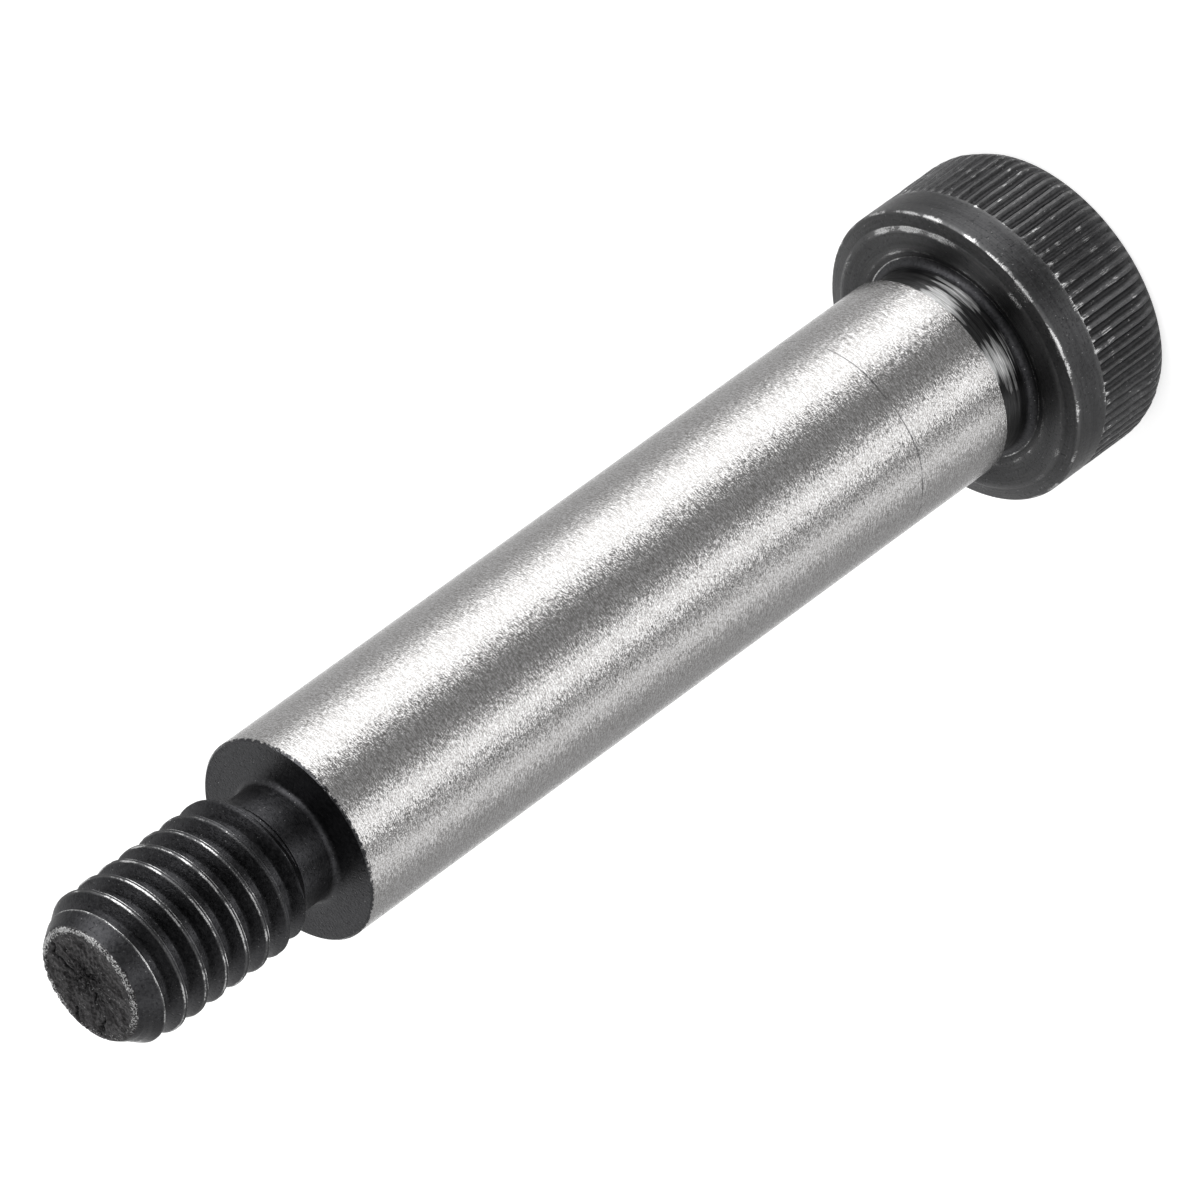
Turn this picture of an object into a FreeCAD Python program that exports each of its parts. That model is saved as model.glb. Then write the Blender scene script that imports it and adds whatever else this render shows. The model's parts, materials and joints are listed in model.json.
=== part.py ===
import FreeCAD, Part

import os

import Sketcher

# A socket head shoulder bolt, in millimetres: one piece of steel, turned, ground, knurled and threaded.
# It stands on its head. The origin is the centre of the head's outer face, where the hexagon socket opens,
# and +Z runs along the bolt's axis through the shoulder to the thread's tip.

NODE = "shoulder_bolt"

# Driving dimensions. Angles are in degrees.
SIZES = {
    # ground shoulder, from the bearing face under the head to the face above the thread
    "shoulder_dia": 12.62,
    "shoulder_length": 53.975,
    "shoulder_edge_break": 0.12,
    # turned neck between the head and the shoulder, where the grinding wheel runs out: the length is straight,
    # the flank is the slope up to the shoulder and the chamfer is the slope up to the head
    "head_neck_dia": 11.8,
    "head_neck_length": 2.1,
    "head_neck_flank": 0.3,
    "head_neck_chamfer": 0.4,
    # head
    "head_dia": 18.6,
    "head_height": 7.92,
    "head_chamfer_width": 0.6,
    "head_chamfer_height": 1.0,
    # bearing face under the head: a flat ring that stands proud of the rim, around a shallow relief
    "bearing_dia": 16.5,
    "bearing_stand": 0.25,
    "relief_dia": 13.6,
    "relief_depth": 0.12,
    # straight knurl round the head, between the far edge and a plain band above the rim
    "knurl_count": 82,
    "knurl_depth": 0.26,
    "knurl_angle": 90,
    "knurl_band": 2.3,
    # hexagon socket
    "hex_across_flats": 6.35,
    "hex_depth": 5.0,
    "socket_mouth_dia": 7.7,
    "socket_mouth_angle": 90,
    "socket_bottom_angle": 120,
    # neck between the shoulder and the thread, straight up to the thread's run-out
    "thread_neck_dia": 7.3,
    "thread_neck_length": 2.45,
    "thread_neck_fillet": 0.6,
    # thread, with its flanks at 60 degrees and flats at crest and root
    "thread_dia": 9.34,
    "thread_pitch": 1.5875,
    "thread_depth": 0.86,
    "thread_angle": 60,
    "thread_length": 15.4,
    "tip_dia": 7.0,
    "tip_chamfer_length": 1.8,
}

# Heights along the axis, from the head's outer face
SHOULDER_END = "(sizes.head_height + sizes.shoulder_length)"
TIP = "(sizes.head_height + sizes.shoulder_length + sizes.thread_length)"
RIM = "(sizes.head_height - sizes.bearing_stand)"
# How far a cutter reaches past the surface it cuts
CUTTER_PAST = 0.2


def make_sheet(doc):
    """The spreadsheet of driving dimensions: a name and a value in each row, with the name as the alias."""
    sheet = doc.addObject("Spreadsheet::Sheet", "sizes")
    for row, (name, value) in enumerate(SIZES.items(), start=1):
        sheet.set(f"A{row}", name)
        sheet.set(f"B{row}", str(value))
        sheet.setAlias(f"B{row}", name)
    doc.recompute()
    return sheet


def plane(body, role):
    """One of the body's own origin planes."""
    return next(item for item in body.Origin.OriginFeatures if item.Role == role)


def outline_sketch(body, name, role, corners):
    """A closed outline of straight lines. Each corner is two expressions, its places along the sketch's axes."""
    sketch = body.newObject("Sketcher::SketchObject", name)
    sketch.AttachmentSupport = (plane(body, role), [""])
    sketch.MapMode = "FlatFace"
    count = len(corners)
    places = [[body.evalExpression(text) for text in corner] for corner in corners]
    vectors = [FreeCAD.Vector(float(across), float(along), 0) for across, along in places]
    for index in range(count):
        line = Part.LineSegment(vectors[index], vectors[(index + 1) % count])
        sketch.addGeometry(line, False)
    for index in range(count):
        sketch.addConstraint(Sketcher.Constraint("Coincident", index, 2, (index + 1) % count, 1))
    for index, corner in enumerate(corners):
        for kind, text, value in zip(("DistanceX", "DistanceY"), corner, vectors[index]):
            number = sketch.addConstraint(Sketcher.Constraint(kind, -1, 1, index, 1, value))
            sketch.setExpression(f"Constraints[{number}]", text)
    return sketch


def ring_edge(shape, radius, height):
    """The name of the round edge with this radius at this height on the axis."""
    for number, edge in enumerate(shape.Edges, start=1):
        curve = edge.Curve
        if isinstance(curve, Part.Circle):
            if abs(curve.Radius - radius) < 1e-4 and abs(curve.Center.z - height) < 1e-4:
                return f"Edge{number}"
    raise ValueError(f"no round edge of radius {radius} at height {height}")


def turned_blank(doc, body):
    """The whole turned outline, revolved: head, under-head neck, shoulder, thread neck and thread blank."""
    corners = [
        ("0", "0"),
        ("sizes.head_dia / 2 - sizes.head_chamfer_width", "0"),
        ("sizes.head_dia / 2", "sizes.head_chamfer_height"),
        ("sizes.head_dia / 2", RIM),
        ("sizes.bearing_dia / 2", "sizes.head_height"),
        ("sizes.relief_dia / 2", "sizes.head_height"),
        ("sizes.relief_dia / 2", "sizes.head_height - sizes.relief_depth"),
        ("sizes.head_neck_dia / 2 + sizes.head_neck_chamfer", "sizes.head_height - sizes.relief_depth"),
        ("sizes.head_neck_dia / 2", "sizes.head_height - sizes.relief_depth + sizes.head_neck_chamfer"),
        ("sizes.head_neck_dia / 2", "sizes.head_height + sizes.head_neck_length"),
        ("sizes.shoulder_dia / 2", "sizes.head_height + sizes.head_neck_length + sizes.head_neck_flank"),
        ("sizes.shoulder_dia / 2", f"{SHOULDER_END} - sizes.shoulder_edge_break"),
        ("sizes.shoulder_dia / 2 - sizes.shoulder_edge_break", SHOULDER_END),
        ("sizes.thread_neck_dia / 2", SHOULDER_END),
        ("sizes.thread_neck_dia / 2", f"{SHOULDER_END} + sizes.thread_neck_length"),
        ("sizes.thread_dia / 2",
         f"{SHOULDER_END} + sizes.thread_neck_length + (sizes.thread_dia - sizes.thread_neck_dia) / 2"),
        ("sizes.thread_dia / 2", f"{TIP} - sizes.tip_chamfer_length"),
        ("sizes.tip_dia / 2", TIP),
        ("0", TIP),
    ]
    sketch = outline_sketch(body, "turned_outline", "XZ_Plane", corners)
    blank = body.newObject("PartDesign::Revolution", "turned_blank")
    blank.Profile = sketch
    blank.ReferenceAxis = (sketch, ["V_Axis"])
    blank.Angle = 360
    doc.recompute()
    return blank


def ring_fillet(doc, body, name, base, radius, height, size):
    """A fillet round one turned edge, found by its radius and height, with its size from the sheet."""
    values = [float(body.evalExpression(text)) for text in (radius, height)]
    fillet = body.newObject("PartDesign::Fillet", name)
    fillet.Base = (base, [ring_edge(base.Shape, *values)])
    fillet.setExpression("Radius", size)
    doc.recompute()
    return fillet


def socket(doc, body):
    """The hexagon socket: a straight six-sided pocket, a drilled cone below it and a countersunk mouth."""
    corner = "sizes.hex_across_flats / 2 / cos(30 deg)"
    corners = [(f"{corner} * cos({turn} deg)", f"{corner} * sin({turn} deg)") for turn in range(0, 360, 60)]
    hexagon = outline_sketch(body, "socket_hexagon", "XY_Plane", corners)
    pocket = body.newObject("PartDesign::Pocket", "socket_pocket")
    pocket.Profile = hexagon
    pocket.Type = "Length"
    pocket.Reversed = True
    pocket.setExpression("Length", "sizes.hex_depth")
    doc.recompute()

    inscribed = "sizes.hex_across_flats / 2"
    bottom = outline_sketch(body, "socket_bottom_outline", "XZ_Plane", [
        ("0", "sizes.hex_depth"),
        (inscribed, "sizes.hex_depth"),
        ("0", f"sizes.hex_depth + {inscribed} / tan(sizes.socket_bottom_angle * 1 deg / 2)"),
    ])
    mouth = outline_sketch(body, "socket_mouth_outline", "XZ_Plane", [
        ("0", "0"),
        ("sizes.socket_mouth_dia / 2", "0"),
        ("0", "sizes.socket_mouth_dia / 2 / tan(sizes.socket_mouth_angle * 1 deg / 2)"),
    ])
    for name, sketch in (("socket_bottom", bottom), ("socket_mouth", mouth)):
        cone = body.newObject("PartDesign::Groove", name)
        cone.Profile = sketch
        cone.ReferenceAxis = (sketch, ["V_Axis"])
        cone.Angle = 360
        doc.recompute()


def knurl(doc, body):
    """The straight knurl: one V groove along the head's side, from the plain band out over the far edge."""
    bottom = "(sizes.head_dia / 2 - sizes.knurl_depth)"
    reach = f"(sizes.knurl_depth + {CUTTER_PAST})"
    half_width = f"{reach} * tan(sizes.knurl_angle * 1 deg / 2)"
    sketch = outline_sketch(body, "knurl_groove_outline", "XY_Plane", [
        (bottom, "0"),
        (f"{bottom} + {reach}", half_width),
        (f"{bottom} + {reach}", f"-{half_width}"),
    ])
    groove = body.newObject("PartDesign::Pocket", "knurl_groove")
    groove.Profile = sketch
    groove.Type = "Length"
    groove.Reversed = True
    groove.setExpression("Length", f"{RIM} - sizes.knurl_band")
    doc.recompute()
    pattern = body.newObject("PartDesign::PolarPattern", "knurl")
    pattern.Originals = [groove]
    pattern.Axis = (sketch, ["N_Axis"])
    pattern.Angle = 360
    pattern.setExpression("Occurrences", "sizes.knurl_count")
    body.Tip = pattern
    doc.recompute()


def thread(doc, body):
    """The right-hand thread: a groove with flanks at the thread angle, cut along a helix past the tip."""
    crest = "sizes.thread_dia / 2"
    root = f"({crest} - sizes.thread_depth)"
    # the crest's flat is an eighth of the pitch wide, so the groove's mouth takes up the rest
    mouth = "sizes.thread_pitch * 7 / 16"
    floor = f"({mouth} - sizes.thread_depth * tan(sizes.thread_angle * 1 deg / 2))"
    start = f"({SHOULDER_END} + sizes.thread_pitch)"
    sketch = outline_sketch(body, "thread_groove_outline", "XZ_Plane", [
        (root, f"{start} - {floor}"),
        (crest, f"{start} - {mouth}"),
        (f"{crest} + {CUTTER_PAST}", f"{start} - {mouth}"),
        (f"{crest} + {CUTTER_PAST}", f"{start} + {mouth}"),
        (crest, f"{start} + {mouth}"),
        (root, f"{start} + {floor}"),
    ])
    groove = body.newObject("PartDesign::SubtractiveHelix", "thread_groove")
    groove.Profile = sketch
    groove.ReferenceAxis = (sketch, ["V_Axis"])
    groove.Mode = 0
    groove.setExpression("Pitch", "sizes.thread_pitch")
    groove.setExpression("Height", "sizes.thread_length")
    groove.Angle = 0
    groove.LeftHanded = False
    groove.Reversed = False
    groove.HasBeenEdited = True
    doc.recompute()


def shoulder_bolt(doc):
    """The one sub-part, as a body whose features follow the order in which the real bolt is made."""
    body = doc.addObject("PartDesign::Body", NODE)
    body.Label = NODE
    blank = turned_blank(doc, body)
    ring_fillet(doc, body, "thread_neck_fillet", blank, "sizes.thread_neck_dia / 2",
                SHOULDER_END, "sizes.thread_neck_fillet")
    socket(doc, body)
    knurl(doc, body)
    thread(doc, body)
    body.Placement = FreeCAD.Placement()
    return body


def check(doc, body):
    """Stops if any feature failed, a cut removed nothing, or the finished shape is not one valid solid."""
    for item in doc.Objects:
        if "Invalid" in item.State or "Error" in item.State:
            raise RuntimeError(f"{item.Name} failed: {item.State}")
    solid_features = [item for item in body.Group if item.isDerivedFrom("PartDesign::Feature")]
    volumes = {item.Name: item.Shape.Volume for item in solid_features}
    for before, after in zip(solid_features, solid_features[1:]):
        if abs(volumes[after.Name] - volumes[before.Name]) < 1e-4:
            raise RuntimeError(f"{after.Name} changed nothing")
    if body.Shape.isNull() or not body.Shape.isValid() or len(body.Shape.Solids) != 1:
        raise RuntimeError(f"{body.Label} is not one valid solid")


def main():
    doc = FreeCAD.newDocument("shoulder_bolt_model")
    make_sheet(doc)
    body = shoulder_bolt(doc)
    doc.recompute()
    check(doc, body)
    os.makedirs("parts", exist_ok=True)
    body.Shape.exportStep(os.path.join("parts", f"{body.Label}.step"))
    box = body.Shape.optimalBoundingBox()
    print(f"{body.Label}: {box.XLength:.2f} x {box.YLength:.2f} x {box.ZLength:.2f} mm, "
          f"{body.Shape.Volume:.0f} mm3, {len(body.Shape.Faces)} faces")


main()
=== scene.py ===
import functools
import json
from math import atan2, ceil, cos, pi, radians, sin, sqrt, tan, tau

import bmesh
import bpy
from bpy.props import FloatProperty, FloatVectorProperty, IntProperty, PointerProperty
from mathutils import Matrix, Vector, noise


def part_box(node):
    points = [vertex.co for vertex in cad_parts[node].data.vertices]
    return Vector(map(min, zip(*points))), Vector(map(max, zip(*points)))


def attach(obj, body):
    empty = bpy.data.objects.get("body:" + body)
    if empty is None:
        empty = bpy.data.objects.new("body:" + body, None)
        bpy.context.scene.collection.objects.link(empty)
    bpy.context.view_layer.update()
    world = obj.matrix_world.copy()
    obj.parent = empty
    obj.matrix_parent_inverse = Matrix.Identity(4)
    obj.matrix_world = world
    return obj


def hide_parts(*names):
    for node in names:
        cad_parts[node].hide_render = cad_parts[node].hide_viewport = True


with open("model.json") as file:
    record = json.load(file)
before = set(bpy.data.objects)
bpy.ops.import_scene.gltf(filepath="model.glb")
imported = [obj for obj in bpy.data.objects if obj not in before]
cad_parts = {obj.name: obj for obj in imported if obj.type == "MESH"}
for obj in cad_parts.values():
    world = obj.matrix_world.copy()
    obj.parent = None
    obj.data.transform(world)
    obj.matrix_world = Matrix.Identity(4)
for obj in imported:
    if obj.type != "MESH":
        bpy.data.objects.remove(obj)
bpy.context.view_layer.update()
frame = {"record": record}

# A knurled socket head shoulder bolt, in metres. It stands on its head at the origin, with +Z along its axis.

bl_info = {
    "name": "Shoulder Bolt",
    "version": (1, 0, 0),
    "blender": (4, 5, 0),
    "location": "3D View > Sidebar > Shoulder Bolt",
    "description": "Builds a knurled socket head shoulder bolt with its finishes and a small studio",
    "category": "Add Mesh",
}

MM = 0.001
CAD_NODE = "shoulder_bolt"
MOUNTS = {mount["name"]: mount for mount in frame["record"]["mounts"]}

# Sizes that the frame sets
TIP_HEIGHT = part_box(CAD_NODE)[1].z
BEARING_HEIGHT = MOUNTS["bearing_face"]["pos_m"][2]
SEAT_HEIGHT = MOUNTS["shoulder_seat"]["pos_m"][2]
SHOULDER_RADIUS = MOUNTS["shoulder"]["dims"]["r_mm"] * MM
# The shoulder's length in the frame ends at this broken edge, in millimetres
EDGE_BREAK = 0.12
SHOULDER_START = SEAT_HEIGHT - EDGE_BREAK * MM - MOUNTS["shoulder"]["dims"]["length_mm"] * MM

# Material slots of the finished piece
OXIDE, GROUND, TURNED, SHEARED, RUBBED = range(5)

# Rows and columns of faces
SHANK_COLUMNS = 180
SOCKET_COLUMNS = 120
CORNER_ROWS = 7
KNURL_ROWS = 11
NECK_ROWS = 6
SEAT_ROWS = 6
SHOULDER_ROWS = 20
THREAD_NECK_ROWS = 4
END_FACE_RINGS = 46

# Vertices closer than this become one
WELD = 0.003 * MM

# Kinds of node that many trees use, some with the one setting that they always have
MATHS = "ShaderNodeMath"
VECTORS = "ShaderNodeVectorMath"
RANGE = "ShaderNodeMapRange"
NOISE = "ShaderNodeTexNoise"
ATTRIBUTE = "ShaderNodeAttribute"
SEPARATE = "ShaderNodeSeparateXYZ"
COMBINE = "ShaderNodeCombineXYZ"
SMOOTH_RANGE = (RANGE, {"interpolation_type": "SMOOTHSTEP"})
MIX = ("ShaderNodeMix", {"data_type": "RGBA"})
SCALE, STRETCH, UNIT = ((VECTORS, {"operation": name}) for name in ("SCALE", "MULTIPLY", "NORMALIZE"))
ADD, SUBTRACT, MULTIPLY, DIVIDE, MULTIPLY_ADD, MAXIMUM, MINIMUM, ABSOLUTE, SMOOTH_MIN = (
    (MATHS, {"operation": name}) for name in (
        "ADD", "SUBTRACT", "MULTIPLY", "DIVIDE", "MULTIPLY_ADD",
        "MAXIMUM", "MINIMUM", "ABSOLUTE", "SMOOTH_MIN"))


def length(name, description, millimetres, low=0.0):
    """A size that a user can change."""
    return FloatProperty(
        name=name, description=description, default=millimetres * MM, min=low,
        subtype="DISTANCE", unit="LENGTH", precision=6)


def degrees(name, description, value):
    """An angle that a user can change."""
    return FloatProperty(name=name, description=description, default=radians(value), subtype="ANGLE",
                         unit="ROTATION")


def linear(hex_colour):
    """An sRGB hex colour as linear red, green and blue, with a plain alpha."""
    channels = [int(hex_colour[place:place + 2], 16) / 255 for place in (1, 3, 5)]
    return [*(c / 12.92 if c <= 0.04045 else ((c + 0.055) / 1.055) ** 2.4 for c in channels), 1.0]


def colour(name, description, hex_colour):
    """A colour that a user can change."""
    return FloatVectorProperty(
        name=name, description=description, default=linear(hex_colour), size=4,
        min=0, max=1, subtype="COLOR")


class HeadSizes(bpy.types.PropertyGroup):
    """Sizes of the knurled head and its socket."""
    radius: length("Head Radius", "Radius over the knurl's ridges", 9.3)
    corner_radius: length("Corner Radius", "Round of the far edge", 2.3)
    corner_height: length("Corner Height", "Height at which that round meets the side", 1.45)
    rim_height: length("Rim Height", "Height where the side meets the bevel", 7.67)
    bearing_radius: length("Bearing Radius", "Outer radius of the flat bearing ring", 8.25)
    relief_radius: length("Relief Radius", "Radius of the relief inside the bearing ring", 6.8)
    relief_depth: length("Relief Depth", "Depth of that relief", 0.12)
    band: length("Plain Band", "Height of the smooth band under the rim", 2.3)
    ridges: IntProperty(name="Ridges", description="Ridges in the straight knurl", default=82, min=12)
    groove_depth: length("Groove Depth", "Depth of the knurl's wide grooves", 0.19)
    unevenness: length("Unevenness", "How far dents push the ridges in", 0.05)
    rubbed_side: degrees("Rubbed Side", "Direction of the side that is worn most", 245.0)
    # painted highlight: the direction of a glint painted as bare steel on the bearing ring's edge
    painted_glint_side: degrees("Smear Side", "Direction of the smear on the bearing ring", 297.0)
    hexagon_flat: length("Socket Flat", "From the axis to a flat of the socket", 3.175)
    hexagon_depth: length("Socket Depth", "Depth of the hexagon's straight walls", 5.0)
    hexagon_mouth: length("Socket Mouth", "Outer radius of the countersunk mouth", 3.85)


class ShankSizes(bpy.types.PropertyGroup):
    """Sizes of the two necks and the shoulder's ends."""
    head_neck_radius: length("Head Neck Radius", "Radius of the turned neck under the head", 5.9)
    head_neck_fillet: length("Head Neck Fillet", "Fillet between that neck and the head", 0.45)
    flank: length("Flank", "Height of the slope from that neck up to the shoulder", 0.3)
    edge_break: length("Edge Break", "Broken edge at the shoulder's free end", EDGE_BREAK)
    thread_neck_radius: length("Thread Neck Radius", "Radius of the neck between shoulder and thread", 3.65)
    thread_neck_length: length("Thread Neck Length", "Length of that neck", 2.45)
    thread_neck_fillet: length("Thread Neck Fillet", "Fillet between that neck and the shoulder", 0.4)


class ThreadSizes(bpy.types.PropertyGroup):
    """Sizes of the rolled thread and its tip."""
    crest_radius: length("Crest Radius", "Radius over the thread's crests", 4.67)
    depth: length("Thread Depth", "Depth from crest to root", 0.86)
    pitch: length("Pitch", "Distance from one crest to the next", 1.5875)
    tip_radius: length("Tip Radius", "Radius of the flat end face", 3.5)
    chamfer: length("Tip Chamfer", "Length of the cone at the tip", 1.8)
    rounding: length("Rounding", "Rounding where flanks meet crest and root", 0.1)
    lap_depth: length("Lap Depth", "Depth of the seam that rolling leaves in the crest", 0.035)
    wander: length("Wander", "How far nicks and dents push the crest in", 0.06)
    steps: IntProperty(name="Steps per Pitch", description="Rows of faces from crest to crest", default=32)
    pit_depth: length("Pit Depth", "Depth of the torn pits in the sheared end face", 0.17)
    shear_start: FloatVectorProperty(
        name="Shear Start", description="Where on the end face the shear began",
        default=(0.2 * MM, -0.3 * MM), size=2, subtype="XYZ_LENGTH", unit="LENGTH")
    crack_depth: length("Crack Depth", "Depth of the cracks in the sheared end face", 0.14)
    rim_side: degrees("Rim Side", "Direction of the tip's most worn side", 300.0)


class Finishes(bpy.types.PropertyGroup):
    """Colours of the bolt's finishes."""
    oxide: colour("Black Oxide", "Black oxide where it lies thinnest", "#4a4a4c")
    oxide_deep: colour("Deep Black Oxide", "The same where it lies thickest", "#303032")
    rubbed: colour("Rubbed Oxide", "Handled black oxide where it lies thinnest", "#4f4f50")
    rubbed_deep: colour("Deep Rubbed Oxide", "The same where it lies thickest", "#333334")
    sheared: colour("Sheared Oxide", "Black oxide on the torn end face", "#5b595a")
    # painted shade: besides the cracks, this colour darkens the torn hollow near where the shear began
    sheared_crack_and_shade: colour("Crack", "Black oxide in the cracks of the torn end face", "#1a1a1b")
    ground: colour("Ground Steel", "Bright ground alloy steel", "#d6d5d5")
    ground_deep: colour("Ground Steel Scratch", "Ground steel down in its scratches", "#959391")
    turned: colour("Turned Steel", "Tops of the rings on the turned neck", "#ececec")
    # painted shade: besides the grooves between the rings, this colour paints the neck dark wherever no
    # highlight is painted
    turned_groove_and_shade: colour("Turned Steel Groove", "Blackened grooves between those rings", "#2c2c2d")
    # the two directions in which highlights are painted on the neck
    neck_highlight_side: degrees("Neck Side", "Direction of the bright side of that neck", 262.0)
    neck_highlight_side_two: degrees("Second Neck Side", "Direction of its second bright side", 215.0)
    score_height: length("Score Height", "Height of the faint score line on the shoulder", 17.5)
    bare: colour("Bare Steel", "Steel that shows where the oxide is worn away", "#d2d2d2")


class Studio(bpy.types.PropertyGroup):
    """Where the camera stands and how strong the lamps are."""
    azimuth: degrees("Azimuth", "Direction of the camera round the bolt", -37.0)
    elevation: degrees("Elevation", "Angle that the camera looks down by", 33.03)
    roll: degrees("Roll", "Turn of the camera about its own view", -125.97)
    seat_right: length("Seat Right", "How far right of the view's centre the seat lies", -16.90, low=-1.0)
    seat_down: length("Seat Down", "How far below the view's centre it lies", 13.02, low=-1.0)
    seat_ahead: length("Seat Ahead", "How far ahead of the camera it lies", 768.48, low=-1.0)
    lens: FloatProperty(name="Lens", description="Focal length in mm on a 36 mm sensor", default=426.26)
    soft_light: FloatProperty(name="Soft Light", description="Watts of the large soft lamp", default=0.9)


def ring(bm, columns, radius, height, worn=0.0):
    """One ring of vertices. The radius, the height and the wear are numbers or functions of the angle."""
    made = []
    layer = bm.verts.layers.float["worn"]
    for column in range(columns):
        angle = tau * column / columns
        r, z, w = (value(angle) if callable(value) else value for value in (radius, height, worn))
        vertex = bm.verts.new((r * cos(angle), r * sin(angle), z))
        vertex[layer] = w
        made.append(vertex)
    return made


def angle_of(vertex):
    """The angle of a vertex round the axis, from 0 to a full turn."""
    return atan2(vertex.co.y, vertex.co.x) % tau


def in_order(around):
    """A ring's vertices by their angle, and those angles, both with the first again at the end."""
    around = sorted(around, key=angle_of)
    turns = [angle_of(vertex) for vertex in around]
    return [*around, around[0]], [*turns, turns[0] + tau]


def join_rings(bm, first, second, finish):
    """Faces between two rings: quads where both have as many vertices, else triangles."""
    faces = []
    if len(first) == len(second):
        for index in range(len(first)):
            after = (index + 1) % len(first)
            faces.append(bm.faces.new((first[index], first[after], second[after], second[index])))
    else:
        (a, turns_a), (b, turns_b) = in_order(first), in_order(second)
        at_a = at_b = 0
        while at_a < len(first) or at_b < len(second):
            if at_b == len(second) or (at_a < len(first) and turns_a[at_a + 1] <= turns_b[at_b + 1]):
                faces.append(bm.faces.new((a[at_a], a[at_a + 1], b[at_b])))
                at_a += 1
            else:
                faces.append(bm.faces.new((a[at_a], b[at_b + 1], b[at_b])))
                at_b += 1
    for face in faces:
        face.material_index = finish


def join_all(bm, rings, finish):
    """Faces along a list of rings."""
    for first, second in zip(rings, rings[1:]):
        join_rings(bm, first, second, finish)


def close_ring(bm, around, height, finish):
    """Closes a ring with a fan to one vertex on the axis."""
    pole = bm.verts.new((0, 0, height))
    for index in range(len(around)):
        face = bm.faces.new((around[index], around[(index + 1) % len(around)], pole))
        face.material_index = finish


def even_steps(start, end, steps):
    """Numbers from start to end in equal steps, with both."""
    return [start + (end - start) * step / steps for step in range(steps + 1)]


def arc(centre_r, centre_z, radius, start, end, steps):
    """Points (r, z) along an arc of the outline, with its ends; angles in degrees from +r."""
    turns = [radians(turn) for turn in even_steps(start, end, steps)]
    return [(centre_r + radius * cos(turn), centre_z + radius * sin(turn)) for turn in turns]


def new_mesh_object(name, bm):
    """An object at the origin that holds the mesh, in the scene's collection."""
    mesh = bpy.data.meshes.new(name)
    bm.to_mesh(mesh)
    bm.free()
    made = bpy.data.objects.new(name, mesh)
    bpy.context.scene.collection.objects.link(made)
    return made


def new_bmesh():
    """An empty mesh whose vertices carry how early the finish wears off and how deep in a groove they lie.
    The materials paint that depth darker, partly as painted shade.
    """
    bm = bmesh.new()
    bm.verts.layers.float.new("worn")
    bm.verts.layers.float.new("groove")
    return bm


def node(tree, kind, inputs=(), out=0, **settings):
    """Adds a node with its settings. Its inputs, by place or name, take values or the sockets that feed them.
    Returns one of its outputs."""
    kind, preset = kind if isinstance(kind, tuple) else (kind, {})
    made = tree.nodes.new(kind)
    for name, value in {**preset, **settings}.items():
        setattr(made, name, value)
    for key, value in inputs.items() if isinstance(inputs, dict) else enumerate(inputs):
        if isinstance(value, bpy.types.NodeSocket):
            tree.links.new(value, made.inputs[key])
        else:
            made.inputs[key].default_value = value
    return made.outputs[out] if made.outputs else made


def emptied(owner):
    """Empties the node tree of a material or a world. Returns node() for that tree."""
    owner.use_nodes = True
    owner.node_tree.nodes.clear()
    return functools.partial(node, owner.node_tree)


def geometry_tree(name, values):
    """A Geometry Nodes tree with an input for each of these values and for a material. Returns it with node()
    for it and with its inputs by name."""
    tree = bpy.data.node_groups.new(name, "GeometryNodeTree")
    kinds = {label: "Int" if isinstance(value, int) else "Float" for label, value in values.items()}
    for label, kind in {"Geometry": "Geometry", **kinds, "Material": "Material"}.items():
        tree.interface.new_socket(name=label, in_out="INPUT", socket_type=f"NodeSocket{kind}")
    tree.interface.new_socket(name="Geometry", in_out="OUTPUT", socket_type="NodeSocketGeometry")
    add = functools.partial(node, tree)
    sockets = add("NodeGroupInput").node.outputs
    return tree, add, {socket.name: socket for socket in sockets if socket.name}


def end_tree(add, geometry, material):
    """Ends a tree in Realize Instances and Set Material."""
    realized = add("GeometryNodeRealizeInstances", (geometry,))
    painted = add("GeometryNodeSetMaterial", {"Geometry": realized, "Material": material})
    add("NodeGroupOutput", (painted,))


def grow(piece, tree, values):
    """Runs a tree on a piece with these inputs and keeps the result as its plain mesh."""
    modifier = piece.modifiers.new(tree.name, "NODES")
    modifier.node_group = tree
    for item in tree.interface.items_tree:
        if item.in_out == "INPUT" and item.name in values:
            modifier[item.identifier] = values[item.name]
    piece.update_tag()
    graph = bpy.context.evaluated_depsgraph_get()
    mesh = bpy.data.meshes.new_from_object(
        piece.evaluated_get(graph), preserve_all_data_layers=True, depsgraph=graph)
    piece.modifiers.remove(modifier)
    piece.data = mesh
    mesh.name = piece.name
    return mesh


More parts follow.
